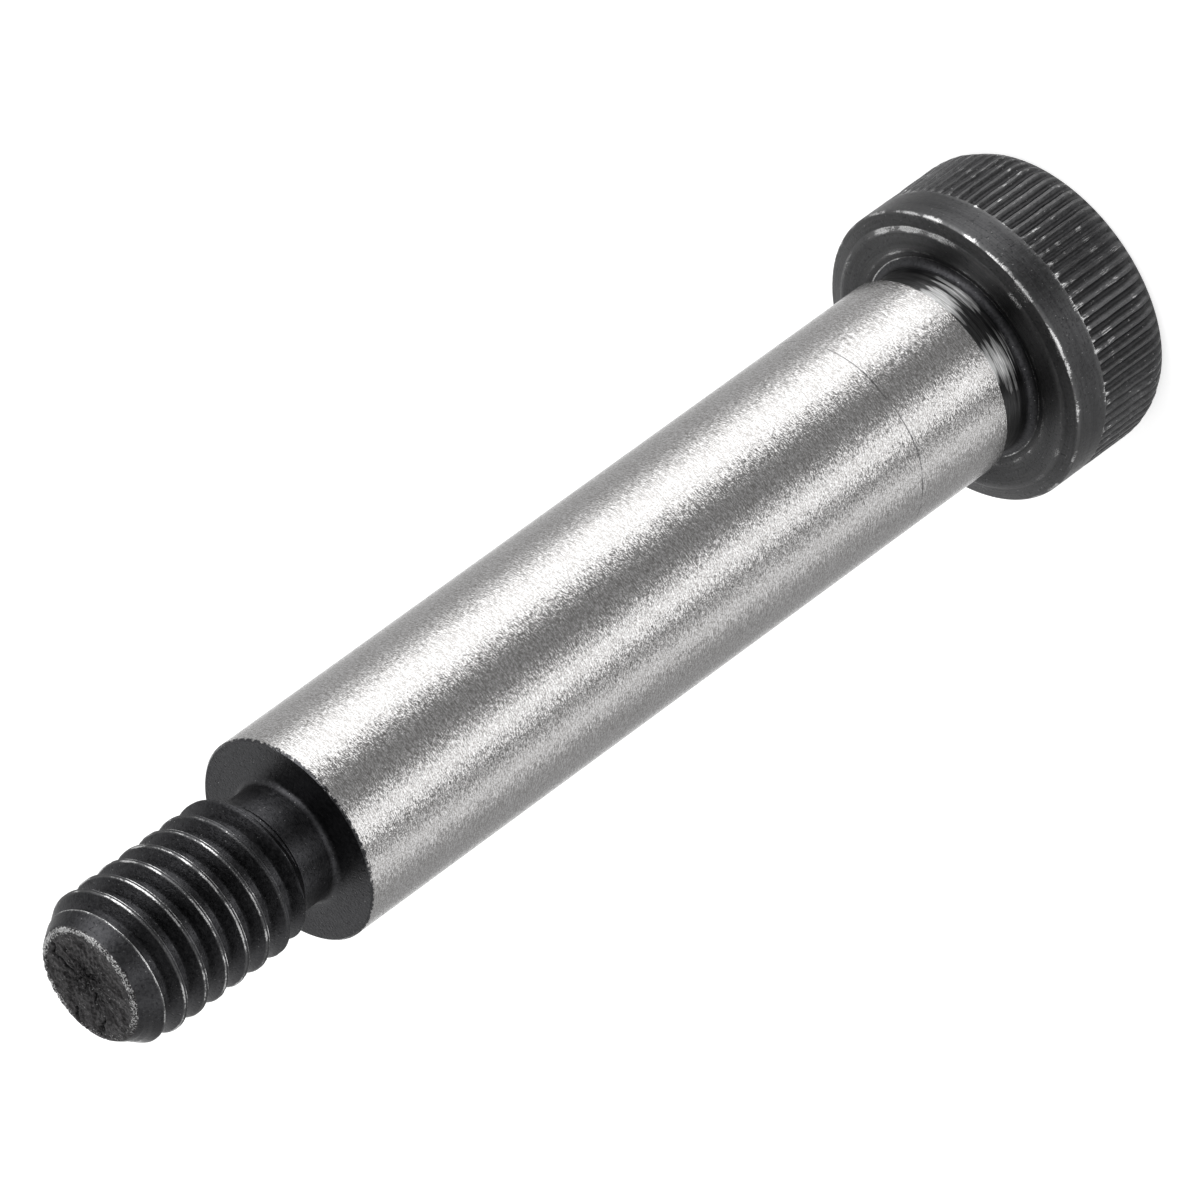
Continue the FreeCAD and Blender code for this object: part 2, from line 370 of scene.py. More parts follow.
def knurl_tree(values):
    """Copies one ridge round the axis into the whole knurled head, welds it and makes it a little uneven."""
    tree, add, given = geometry_tree("Straight Knurl", values)
    points = add("GeometryNodeMeshLine", {"Count": given["Ridges"], "Offset": (0, 0, 0)})
    share = add(DIVIDE, (add("GeometryNodeInputIndex"), given["Ridges"]))
    rotation = add(COMBINE, {"Z": add(MULTIPLY, (share, tau))})
    copies = add("GeometryNodeInstanceOnPoints", {
        "Points": points, "Instance": given["Geometry"], "Rotation": rotation})
    realized = add("GeometryNodeRealizeInstances", (copies,))
    welded = add("GeometryNodeMergeByDistance", {"Geometry": realized, "Distance": given["Weld Distance"]})

    # dents of two sizes push the ridges in
    place = add("GeometryNodeInputPosition")
    small, large = (add(NOISE, {"Vector": place, "W": given["Seed"], "Scale": scale}, noise_dimensions="4D")
                    for scale in (900.0, 160.0))
    dents = add(SMOOTH_RANGE, (add(ADD, (small, large)), 0.9, 1.25))
    ridge = add("GeometryNodeInputNamedAttribute", {"Name": "ridge"})
    depth = add(MULTIPLY, (add(MULTIPLY, (dents, ridge)), given["Unevenness"]))
    inward = add(UNIT, (add(STRETCH, (place, (-1, -1, 0))),))
    offset = add(SCALE, {"Vector": inward, "Scale": depth})
    moved = add("GeometryNodeSetPosition", {"Geometry": welded, "Offset": offset})
    end_tree(add, moved, given["Material"])
    return tree


def thread_tree(values):
    """The rolled thread as one grid wound round the axis. Its radius follows the thread's form, under the
    tip's cone and over the neck, so both ends are plain circles."""
    tree, add, given = geometry_tree("Rolled Thread", values)
    pitch, start, crest_radius = given["Pitch"], given["Start Height"], given["Crest Radius"]
    root_radius, rounding = given["Root Radius"], given["Rounding"]
    rows_less = add(SUBTRACT, (given["Rows"], 1))
    grid = add("GeometryNodeMeshGrid", (
        rows_less, given["Columns"], given["Rows"], add(ADD, (given["Columns"], 1))))
    flat = add(SEPARATE, (add("GeometryNodeInputPosition"),)).node.outputs
    row = add(ADD, (flat["X"], add(DIVIDE, (rows_less, 2))))
    turn = add(ADD, (add(DIVIDE, (flat["Y"], given["Columns"])), 0.5))

    climbed = add(ADD, (add(DIVIDE, (row, given["Steps"])), add(SUBTRACT, (turn, 1))))
    height = add(MULTIPLY_ADD, (climbed, pitch, start))
    height = add(MAXIMUM, (height, start))
    height = add(MINIMUM, (height, given["End Height"]))

    # distance along the axis from the middle of the nearest crest
    from_first = add(SUBTRACT, (height, given["Groove Height"]))
    turns_up = add(DIVIDE, (from_first, pitch))
    share = add(MATHS, (add(SUBTRACT, (turns_up, turn)), 0.5), operation="PINGPONG")
    from_crest = add(MULTIPLY, (add(SUBTRACT, (0.5, share)), pitch))
    # 60 degree flanks down from a crest that is an eighth of the pitch wide
    crest_half = add(MULTIPLY, (pitch, 1 / 16))
    past_crest = add(SUBTRACT, (from_crest, crest_half))
    form = add(MULTIPLY_ADD, (past_crest, -sqrt(3), crest_radius))
    form = add(MATHS, (form, root_radius, rounding), operation="SMOOTH_MAX")
    form = add(SMOOTH_MIN, (form, crest_radius, rounding))
    lap = add(SMOOTH_RANGE, (from_crest, 0, add(MULTIPLY, (pitch, 1 / 24)), given["Lap Depth"], 0.0))
    form = add(SUBTRACT, (form, lap))

    # the cone at the tip and the 45 degree run-out at the neck cut the thread off
    to_tip = add(DIVIDE, (add(SUBTRACT, (given["Tip Height"], height)), given["Chamfer"]))
    widening = add(SUBTRACT, (crest_radius, given["Tip Radius"]))
    cone = add(MULTIPLY_ADD, (to_tip, widening, given["Tip Radius"]))
    past_start = add(SUBTRACT, (height, start))
    run_out = add(ADD, (past_start, given["Neck Radius"]))
    uncut = form
    form = add(SMOOTH_MIN, (form, cone, rounding))
    form = add(SMOOTH_MIN, (form, run_out, rounding))

    # dents and nicks, deepest along the crests
    above_root = add(SMOOTH_RANGE, (form, root_radius, crest_radius))
    angle = add(MULTIPLY, (turn, tau))
    across = add(MATHS, (angle,), operation="COSINE")
    along = add(MATHS, (angle,), operation="SINE")
    direction = add(COMBINE, (across, along, add(MULTIPLY, (height, 300.0))))
    dents = add(NOISE, {
        "Vector": direction, "W": given["Seed"], "Scale": 3.0, "Detail": 4.0, "Roughness": 0.6,
    }, noise_dimensions="4D")
    dents = add(SMOOTH_RANGE, (dents, 0.5, 0.75))
    dents = add(MULTIPLY, (add(MULTIPLY, (dents, above_root)), given["Wander"]))
    form = add(SUBTRACT, (form, dents))

    place = add(COMBINE, (add(MULTIPLY, (form, across)), add(MULTIPLY, (form, along)), height))
    # the finish wears off both edges of the crest first
    edge_gap = add(ABSOLUTE, (past_crest,))
    worn = add(SMOOTH_RANGE, (edge_gap, 0, add(MULTIPLY, (crest_half, 0.75))))
    worn = add(SUBTRACT, (1, worn))
    clear = add(SMOOTH_RANGE, (past_start, pitch, add(MULTIPLY, (pitch, 2.4))))
    worn = add(MULTIPLY, (worn, clear))
    # and off the edge that the tip's cone cuts through the first turn
    cut = add(SUBTRACT, (uncut, cone))
    whole = add(RANGE, (cut, 0, crest_half, 1.0, 0.0))
    worn = add(MULTIPLY, (worn, whole))
    cut = add(SMOOTH_RANGE, (add(ABSOLUTE, (cut,)), 0, add(MULTIPLY, (crest_half, 3)), 1.0, 0.0))
    cut = add(MULTIPLY, (cut, add(RANGE, (above_root, 0.05, 0.3))))
    worn = add(MAXIMUM, (worn, cut))
    marked = add("GeometryNodeStoreNamedAttribute", {"Geometry": grid, "Name": "worn", "Value": worn})
    wound = add("GeometryNodeSetPosition", {"Geometry": marked, "Position": place})
    welded = add("GeometryNodeMergeByDistance", {"Geometry": wound, "Distance": given["Weld Distance"]})
    end_tree(add, welded, given["Material"])
    return tree


def steel_material(name):
    """A new empty material. Returns it with node() for it and with places in millimetres."""
    material = bpy.data.materials.new(name)
    add = emptied(material)
    place = add(SCALE, {"Vector": add("ShaderNodeTexCoord", out="Object"), "Scale": 1 / MM})
    return material, add, place


def metal(add, skin, rough, relief, bump, stretch=0.0, lean=None):
    """Ends a material in metal with a bump of some strength and depth in millimetres. Scratches round the
    bolt stretch its highlights along the axis and lean its normals."""
    normal = add("ShaderNodeBump", {"Strength": bump[0], "Distance": bump[1] * MM, "Height": relief})
    if lean:
        normal = add(UNIT, (add(VECTORS, (normal, lean), operation="ADD"),))
    shader = {"Metallic": 1.0, "Base Color": skin, "Roughness": rough, "Normal": normal}
    if stretch:
        tangent = add("ShaderNodeTangent", direction_type="RADIAL", axis="Z")
        shader |= {"Anisotropic": stretch, "Anisotropic Rotation": 0.25, "Tangent": tangent}
    add("ShaderNodeOutputMaterial", (add("ShaderNodeBsdfPrincipled", shader),))


def grain(add, place, size, low, high, detail=3.0, roughness=0.55):
    """A random grain, 0 under low and 1 over high. Its size is in millimetres, for all axes or for each."""
    sides = size if isinstance(size, tuple) else (size,) * 3
    scaled = add(STRETCH, (place, [1 / side for side in sides]))
    speckled = add(NOISE, {"Vector": scaled, "Scale": 1.0, "Detail": detail, "Roughness": roughness})
    return add(SMOOTH_RANGE, (speckled, low, high))


def turned_rings(add, place, width):
    """Fine rings round the axis, about this many millimetres wide, as turning leaves on faces and necks."""
    parts = add(SEPARATE, (place,)).node.outputs
    radius = add(VECTORS, (add(STRETCH, (place, (1, 1, 0))),), out="Value", operation="LENGTH")
    ringed = add(COMBINE, (parts["X"], parts["Y"], add(ADD, (radius, parts["Z"]))))
    return grain(add, ringed, (4.0, 4.0, width), 0.3, 0.7, 2.0, 0.6)


def oxide_skin(add, place, deep, thin, bare_steel, chip, ring_contrast):
    """A thin oxide skin on metal, with fine rings from turning or rolling, with a few pits and specks, and
    rubbed through where it wears. Down in grooves it is darker, partly as thicker oxide and partly as
    painted shade."""
    worn, groove = (add(ATTRIBUTE, out="Fac", attribute_name=name) for name in ("worn", "groove"))
    mottle = grain(add, place, 0.22, 0.3, 0.7, 5.0, 0.7)
    rings = turned_rings(add, place, 0.09)
    wide_rings = turned_rings(add, place, 0.45)
    chips = grain(add, place, chip, 0.3, 0.7, 3.0, 0.7)
    stretches = grain(add, place, (1.6, 1.6, 0.9), 0.35, 0.65, 2.0)
    score = add(MULTIPLY_ADD, (chips, 0.5, worn))
    score = add(MULTIPLY_ADD, (stretches, 0.7, score))
    bare = add(SMOOTH_RANGE, (score, 1.25, 1.6))
    specks = grain(add, place, 0.10, 0.80, 0.86, 0.0)
    bare = add(MULTIPLY_ADD, (worn, 0.16, bare), use_clamp=True)
    bare = add(MULTIPLY_ADD, (specks, 0.35, bare), use_clamp=True)
    thickness_and_shade = add(MULTIPLY_ADD, (rings, ring_contrast, mottle))
    thickness_and_shade = add(MULTIPLY_ADD, (wide_rings, ring_contrast, thickness_and_shade))
    thickness_and_shade = add(RANGE, (thickness_and_shade, 0.1, 0.9 + 2 * ring_contrast))
    # painted shade: down in the knurl's grooves the skin is pushed towards the deep colour, partly for
    # thicker oxide and partly as shade
    thickness_and_shade = add(MULTIPLY_ADD, (groove, -0.6, thickness_and_shade), use_clamp=True)
    pits = grain(add, place, 0.16, 0.39, 0.30, 1.0)
    thickness_and_shade = add(MULTIPLY_ADD, (pits, -0.9, thickness_and_shade), use_clamp=True)
    dark = add(MIX, {0: thickness_and_shade, 6: deep, 7: thin}, out=2)
    skin = add(MIX, {0: bare, 6: dark, 7: bare_steel}, out=2)
    rough = add(MULTIPLY_ADD, (bare, -0.10, add(RANGE, (mottle, 0, 1, 0.29, 0.42))))
    relief = add(MULTIPLY_ADD, (pits, -1.0, add(MULTIPLY_ADD, (rings, ring_contrast, chips))))
    metal(add, skin, rough, relief, (0.4, 0.015), 0.35)


def black_oxide(finishes):
    """Black oxide over rolled and turned steel: a thin dark skin that keeps the metal's soft sheen, and is
    rubbed through to bright steel along the thread's crests."""
    material, add, place = steel_material("black_oxide_on_rolled_steel")
    oxide_skin(add, place, finishes.oxide_deep, finishes.oxide, finishes.bare, (0.16, 0.16, 0.07), 0.25)
    return material


def rubbed_oxide(finishes):
    """The same black oxide on the knurled head, greyer because hands and keys have rubbed it, with bare steel
    in nicks along the rim and on the ridges."""
    material, add, place = steel_material("black_oxide_on_knurled_steel")
    oxide_skin(add, place, finishes.rubbed_deep, finishes.rubbed, finishes.bare, (0.07, 0.07, 0.6), 0.6)
    return material


def ground_steel(finishes):
    """Hardened steel finished on a cylindrical grinder: bright, with fine scratches round the shoulder that
    spread each reflection along the axis and make its edges look hairy."""
    material, add, place = steel_material("ground_alloy_steel")
    # Real grinding scratches are about 0.01 mm wide. They are drawn 0.05 mm wide, so that they show.
    streaks = grain(add, place, (0.28, 0.28, 0.05), 0.3, 0.7, 0.0)
    flecks = grain(add, place, (0.10, 0.10, 0.06), 0.3, 0.7, 0.0)
    texture = add(MULTIPLY, (add(ADD, (streaks, flecks)), 0.5))
    light = add(MIX, {0: texture, 6: finishes.ground_deep, 7: finishes.ground}, out=2)
    # a fine score line runs part of the way round, and the black of the end face creeps over the edge
    height = add(SEPARATE, (place,), out="Z")
    drift = grain(add, place, 6.0, 0.2, 0.8, 1.0)
    drift = add(MULTIPLY_ADD, (drift, 0.25, height))
    score = add(ABSOLUTE, (add(SUBTRACT, (drift, finishes.score_height / MM)),))
    score = add(RANGE, (score, 0.055, 0.02))
    broken = grain(add, place, (2.6, 2.6, 0.5), 0.45, 0.55, 2.0)
    score = add(MULTIPLY, (add(MULTIPLY, (score, broken)), 0.8))
    ragged = grain(add, place, 0.25, 0.2, 0.8, 3.0)
    edge = add(MULTIPLY_ADD, (ragged, 0.22, height))
    edge = add(RANGE, (edge, (SEAT_HEIGHT - 0.04 * MM) / MM, (SEAT_HEIGHT + 0.02 * MM) / MM))
    light = add(MIX, {0: add(MAXIMUM, (score, edge)), 6: light, 7: finishes.oxide}, out=2)
    rough = add(RANGE, (streaks, 0, 1, 0.16, 0.26))
    # each scratch leans a little, so the normal turns round the axis by a few degrees
    elsewhere = add(VECTORS, (place, (31.0, 17.0, 5.0)), operation="ADD")
    lean = grain(add, elsewhere, (0.23, 0.23, 0.055), 0.2, 0.8, 0.0)
    lean = add(RANGE, (lean, 0, 1, -0.10, 0.10))
    round_way = add(UNIT, (add(VECTORS, ((0, 0, 1), place), operation="CROSS_PRODUCT"),))
    lean = add(SCALE, {"Vector": round_way, "Scale": lean})
    metal(add, light, rough, flecks, (0.45, 0.01), 0.6, lean)
    return material


def turned_steel(finishes):
    """The neck under the head as the lathe tool left it: fine rings that catch the light along the axis, with
    a thin black left between them. Its bright steel shows only on two sides, as painted highlights, and the
    rest, most of all near the head, is painted dark as shade."""
    material, add, place = steel_material("turned_alloy_steel_thin_oxide")
    rings = turned_rings(add, place, 0.10)
    thin = add(RANGE, (rings, 0, 1, 0.5))
    # painted shade: the lower half, near the head, is painted black, with a ragged edge
    height = add(SEPARATE, (place,), out="Z")
    ragged = grain(add, place, (4.0, 4.0, 0.20), 0.3, 0.7, 3.0)
    edge = add(MULTIPLY_ADD, (ragged, 1.3, height))
    clear = add(RANGE, (edge, BEARING_HEIGHT / MM + 0.9, BEARING_HEIGHT / MM + 1.9))
    thin = add(MULTIPLY, (thin, clear))
    # and so is all but two sides, where the bright rings are painted on as highlights, with combed edges
    around = add(UNIT, (add(STRETCH, (place, (1, 1, 0))),))
    # the share of bright steel left where no highlight is painted
    rubbed = 0.12
    for side in (finishes.neck_highlight_side, finishes.neck_highlight_side_two):
        side = (cos(side), sin(side), 0)
        toward = add(VECTORS, (around, side), out="Value", operation="DOT_PRODUCT")
        toward = add(MULTIPLY_ADD, (ragged, 0.06, toward))
        highlight_patch = add(RANGE, (toward, 0.995, 1.014))
        rubbed = add(MAXIMUM, (highlight_patch, rubbed))
    thin = add(MULTIPLY, (thin, rubbed))
    streaks = grain(add, place, (0.7, 0.7, 0.05), 0.3, 0.6, 1.0)
    streaks = add(RANGE, (streaks, 0, 1, 0.55))
    thin = add(MULTIPLY, (thin, streaks))
    skin = add(MIX, {0: thin, 6: finishes.turned_groove_and_shade, 7: finishes.turned}, out=2)
    metal(add, skin, add(RANGE, (rings, 0, 1, 0.38, 0.30)), rings, (0.5, 0.02), 0.9)
    return material


def sheared_end(finishes):
    """The bar's sheared end under black oxide: torn and pitted, and bright at its rim. Its cracks are painted
    dark, partly as oxide and partly as shade, and the torn hollow where the shear began has painted shade.
    """
    material, add, place = steel_material("sheared_steel_black_oxide")
    worn, crack = (add(ATTRIBUTE, out="Fac", attribute_name=name) for name in ("worn", "groove"))
    torn = grain(add, place, 0.20, 0.2, 0.75, 5.0, 0.7)
    chips = grain(add, place, 0.10, 0.35, 0.65, 3.0, 0.7)
    stretches = grain(add, place, 1.5, 0.35, 0.65, 2.0)
    score = add(MULTIPLY_ADD, (chips, 1.0, worn))
    score = add(MULTIPLY_ADD, (stretches, 0.4, score))
    bare = add(SMOOTH_RANGE, (score, 1.35, 1.75))
    specks = grain(add, place, 0.10, 0.77, 0.84, 0.0)
    bare = add(MULTIPLY_ADD, (specks, 0.4, bare), use_clamp=True)
    # painted shade: the cracks and the torn hollow are pushed towards the crack colour
    thin = add(MULTIPLY_ADD, (crack, -1.0, torn), use_clamp=True)
    dark = add(MIX, {0: thin, 6: finishes.sheared_crack_and_shade, 7: finishes.sheared}, out=2)
    skin = add(MIX, {0: bare, 6: dark, 7: finishes.bare}, out=2)
    rough = add(MULTIPLY_ADD, (bare, -0.2, add(RANGE, (torn, 0, 1, 0.6, 0.44))))
    metal(add, skin, rough, add(MULTIPLY_ADD, (chips, worn, torn)), (0.5, 0.03))
    return material


# Cracks in the torn end face, as paths of x and y in millimetres
CRACKS = (
    ((2.6, -1.2), (2.5, -0.7), (1.9, -0.2), (1.2, -0.2)),
    ((1.8, -1.6), (1.1, -1.0), (0.4, -0.7), (0.0, -0.3)),
    ((-0.2, 0.0), (-0.4, 0.5), (-0.3, 1.0), (-0.6, 1.4)),
    ((0.9, 2.4), (0.9, 2.8), (0.8, 3.3)),
    ((-1.1, 1.7), (-1.0, 2.4), (-0.7, 3.2)),
)


def head_outline(sizes):
    """Rows of (radius, height, wear, depth of grooves), from inside the head's flat face to its relief."""
    knurl_end = sizes.rim_height - sizes.band
    corner_centre = sizes.radius - sizes.corner_radius
    flat_share, step_up = 0.52, 0.12
    outline = [(corner_centre + sizes.corner_radius * flat_share, 0.0, 0.0, 0.0)]
    for step in range(CORNER_ROWS + 1):
        z = sizes.corner_height * (step / CORNER_ROWS) ** 1.3
        r = corner_centre + sqrt(sizes.corner_radius ** 2 - (sizes.corner_height - z) ** 2)
        outline.append((r, z, 0.30, sizes.groove_depth * min(1.0, step / 3)))
    grooved = even_steps(sizes.corner_height, knurl_end - step_up * MM, KNURL_ROWS)
    outline += [(sizes.radius, z, 0.35, sizes.groove_depth) for z in grooved[1:-1]]
    outline.append((sizes.radius, grooved[-1], 0.62, sizes.groove_depth))
    # from each base, rows of (radius, height, wear) in millimetres
    lowered = BEARING_HEIGHT - sizes.relief_depth
    for base_r, base_z, rows in (
        (sizes.radius, knurl_end, (
            (0, 0, 0.62), (-0.012, step_up, 0.35), (-0.012, 0.25, 0.1), (0, 1.0, 0.0))),
        (sizes.radius, sizes.rim_height, (
            (0, -0.30, 0.1), (0, -0.13, 0.5), (-0.03, -0.05, 0.75),
            (-0.08, 0.01, 0.72), (-0.17, 0.035, 0.3))),
        (sizes.bearing_radius, BEARING_HEIGHT, (
            (0.24, -0.11, 0.1), (0.16, -0.06, 0.35), (0.08, -0.015, 0.45),
            (-0.05, 0, 0.35), (-0.24, 0, 0.1))),
        (sizes.relief_radius, BEARING_HEIGHT, ((0.45, 0, 0.0), (0.15, -0.02, 0.3), (0.03, -0.05, 0.65))),
        (sizes.relief_radius, lowered, ((-0.10, 0, 0.2), (-0.30, 0, 0.0), (-0.36, -0.03, 0.95))),
    ):
        outline += [(base_r + r * MM, base_z + z * MM, worn, 0.0) for r, z, worn in rows]
    return outline


def one_ridge(sizes):
    """The head's skin over one pitch of the knurl, from the middle of a wide groove to the next."""
    bm = new_bmesh()
    layers = bm.verts.layers.float
    layers.new("ridge")
    worn_layer, groove_layer, ridge_layer = (layers[name] for name in ("worn", "groove", "ridge"))
    # places over the pitch, and how deep the groove is there
    across = ((0, 1.0), (0.12, 0.94), (0.24, 0.62), (0.33, 0.20), (0.38, 0.0))
    across += tuple((1 - place, depth) for place, depth in reversed(across))
    rows = []
    for r, z, worn, groove in head_outline(sizes):
        row = []
        for place, depth in across:
            radius, turn = r - groove * depth, tau / sizes.ridges * place
            vertex = bm.verts.new((radius * cos(turn), radius * sin(turn), z))
            vertex[worn_layer] = worn * (1 - depth) if groove else worn
            vertex[ridge_layer] = 1.0 if groove else 0.0
            # how deep in the groove, which the head's material paints darker, partly as painted shade
            vertex[groove_layer] = depth * groove / sizes.groove_depth
            row.append(vertex)
        rows.append(row)
    for low, high in zip(rows, rows[1:]):
        for column in range(len(across) - 1):
            bm.faces.new((low[column], low[column + 1], high[column + 1], high[column]))
    return bm


class BOLT_OT_knurled_head(bpy.types.Operator):
    """Makes the head's skin from one knurl ridge, copied round the axis"""
    bl_idname = "bolt.knurled_head"
    bl_label = "Knurled Head"

    def execute(self, context):
        sizes = context.scene.bolt_head
        piece = new_mesh_object("knurled_head", one_ridge(sizes))
        values = {"Ridges": sizes.ridges, "Weld Distance": WELD, "Unevenness": sizes.unevenness, "Seed": 4.0}
        rub_one_side(grow(piece, knurl_tree(values), values), sizes)
        return {"FINISHED"}


def one_sided(angle, side, average, swing):
    """A share of wear that is largest towards one side of the axis."""
    return average + swing * cos(angle - side)


def rub_one_side(mesh, sizes):
    """Wears the head most on the side that it slid on, and paints a glint as bare steel along the bearing
    ring's edge.
    """
    # as cosines of the angle from the painted glint's middle
    glint_start, glint_run = 0.88, 0.08
    for vertex, wear in zip(mesh.vertices, mesh.attributes["worn"].data):
        angle = angle_of(vertex)
        wear.value *= one_sided(angle, sizes.rubbed_side, 0.75, 0.35)
        on_ring = abs(vertex.co.xy.length - sizes.bearing_radius) < 0.17 * MM
        if on_ring and vertex.co.z > sizes.rim_height:
            near = (cos(angle - sizes.painted_glint_side) - glint_start) / glint_run
            wear.value = max(wear.value, min(1.0, max(0.0, near)))


class BOLT_OT_rolled_thread(bpy.types.Operator):
    """Makes the thread's skin as a grid wound along the helix"""
    bl_idname = "bolt.rolled_thread"
    bl_label = "Rolled Thread"

    def execute(self, context):
        sizes, shank = context.scene.bolt_thread, context.scene.bolt_shank
        start = SEAT_HEIGHT + shank.thread_neck_length
        end = cone_end(sizes)
        rows = ceil((end - start) / sizes.pitch + 1) * sizes.steps + 1
        piece = new_mesh_object("rolled_thread", bmesh.new())
        values = {name.replace("_", " ").title(): getattr(sizes, name) for name in (
            "pitch", "crest_radius", "tip_radius", "chamfer", "rounding", "lap_depth", "wander", "steps")}
        values |= {
            "Root Radius": sizes.crest_radius - sizes.depth, "Neck Radius": shank.thread_neck_radius,
            "Tip Height": TIP_HEIGHT, "Start Height": start, "End Height": end,
            "Groove Height": SEAT_HEIGHT + sizes.pitch, "Columns": SHANK_COLUMNS, "Rows": rows, "Seed": 7.0,
            "Weld Distance": WELD}
        grow(piece, thread_tree(values), values)
        return {"FINISHED"}


def cone_end(sizes):
    """Height at which the tip's cone lies clear under the thread's root."""
    cone_width = sizes.crest_radius - sizes.tip_radius
    root_share = (sizes.crest_radius - sizes.depth - sizes.tip_radius) / cone_width
    clear = 0.23 * MM
    return TIP_HEIGHT - sizes.chamfer * root_share + clear


def cone_radius(sizes, height):
    """Radius of the tip's cone at a height."""
    return sizes.tip_radius + (sizes.crest_radius - sizes.tip_radius) * (TIP_HEIGHT - height) / sizes.chamfer


def socket_rings(bm, head):
    """The hexagon socket from its mouth to its drilled bottom. Returns the mouth's ring."""
    def wall(angle):
        return head.hexagon_flat / cos(angle % radians(60) - radians(30))

    mouth = ring(bm, SOCKET_COLUMNS, head.hexagon_mouth, 0.0, 0.4)
    top = ring(bm, SOCKET_COLUMNS, wall, lambda angle: head.hexagon_mouth - wall(angle), 0.5)
    bottom = ring(bm, SOCKET_COLUMNS, wall, head.hexagon_depth)
    drilled = ring(bm, SOCKET_COLUMNS, head.hexagon_flat * 0.995, head.hexagon_depth)
    cone_depth = head.hexagon_flat / tan(radians(60))
    inner = 0.4
    middle_height = head.hexagon_depth + cone_depth * (1 - inner)
    middle = ring(bm, SOCKET_COLUMNS, head.hexagon_flat * inner, middle_height)
    join_all(bm, [mouth, top, bottom, drilled, middle], OXIDE)
    close_ring(bm, middle, head.hexagon_depth + cone_depth, OXIDE)
    return mouth


def neck_and_shoulder_rings(bm, head, shank):
    """From the relief under the head to the thread's neck. Returns the first ring."""
    fillet = shank.head_neck_fillet
    step_in, step_down = 0.45 * MM, 0.03 * MM
    floor = BEARING_HEIGHT - head.relief_depth - step_down
    relief = [(head.relief_radius - step_in, floor)]
    relief += arc(shank.head_neck_radius + fillet, floor + fillet, fillet, -90, -180, 6)
    neck_heights = even_steps(relief[-1][1], SHOULDER_START - shank.flank, NECK_ROWS)[1:]
    neck = [(shank.head_neck_radius, z) for z in neck_heights]
    shoulder_end = SEAT_HEIGHT - shank.edge_break
    shoulder = [(SHOULDER_RADIUS, z) for z in even_steps(SHOULDER_START, shoulder_end, SHOULDER_ROWS)]
    fillet = shank.thread_neck_fillet
    seat_in = shank.thread_neck_radius + fillet
    seat = [(r, SEAT_HEIGHT) for r in even_steps(SHOULDER_RADIUS - shank.edge_break, seat_in, SEAT_ROWS)[:-1]]
    seat += arc(seat_in, SEAT_HEIGHT + fillet, fillet, -90, -180, 7)
    thread_neck = even_steps(seat[-1][1], SEAT_HEIGHT + shank.thread_neck_length, THREAD_NECK_ROWS)[1:]
    seat += [(shank.thread_neck_radius, z) for z in thread_neck]
    relief, neck, shoulder, seat = (
        [ring(bm, SHANK_COLUMNS, r, z) for r, z in points] for points in (relief, neck, shoulder, seat))
    join_all(bm, relief, OXIDE)
    join_all(bm, [relief[-1], *neck], TURNED)
    join_all(bm, [neck[-1], *shoulder, seat[0]], GROUND)
    join_all(bm, seat, OXIDE)
    return relief[0]


def tip_rings(bm, sizes):
    """The end of the tip's cone, its chipped rim and the torn end face, down to the axis."""
    def chip(angle):
        direction = Vector((cos(angle), sin(angle), 0.3))
        return max(0.0, noise.fractal(direction * 9, 0.6, 2.2, 4)) * chip_depth

    base = cone_end(sizes)
    halfway = (base + TIP_HEIGHT - 0.12 * MM) / 2
    cone = [ring(bm, SHANK_COLUMNS, cone_radius(sizes, z), z) for z in (base, halfway)]
    chip_depth, height_lag, rim_width = 0.09, 0.4, 0.28
    rim = []
    for below, inset, wear in ((0.13, 0.0, 0.35), (0.05, 0.01, 0.85), (0.01, 0.07, 0.95), (0.01, 0.17, 0.85)):
        rim.append(ring(
            bm, SHANK_COLUMNS,
            lambda angle: cone_radius(sizes, TIP_HEIGHT - below * MM) - (inset + chip(angle)) * MM,
            lambda angle: TIP_HEIGHT - (below + chip(angle + height_lag)) * MM,
            lambda angle: wear * one_sided(angle, sizes.rim_side, 0.77, 0.33)))
    face_radius = sizes.tip_radius - rim_width * MM
    face = []
    groove = bm.verts.layers.float["groove"]
    for step in range(END_FACE_RINGS):
        radius = face_radius * (1 - step / END_FACE_RINGS)
        around = ring(bm, SHANK_COLUMNS, radius, TIP_HEIGHT, 0.45 if step < 2 else 0.0)
        for vertex in around:
            depth, crack = torn_depth(sizes, vertex.co.xy.length, angle_of(vertex))
            vertex.co.z -= depth
            # the crack share and the torn hollow's painted shade, which the end face's material paints dark
            vertex[groove] = crack
        face.append(around)
    join_all(bm, [*cone, rim[0]], OXIDE)
    join_all(bm, [*rim, *face], SHEARED)
    close_ring(bm, face[-1], TIP_HEIGHT - torn_depth(sizes, 0.0, 0.0)[0], SHEARED)


def crack_share(place, path):
    """How deep a place lies in a crack, from 0 beside its path to 1 on it; all in millimetres."""
    nearest = 1.0
    for start, end in zip(path, path[1:]):
        run = end - start
        share = min(1.0, max(0.0, (place - start).dot(run) / run.length_squared))
        nearest = min(nearest, (place - start - run * share).length)
    width = 0.14 + 0.10 * noise.noise(place.to_3d() * 2)
    return max(0.0, 1 - nearest / width)


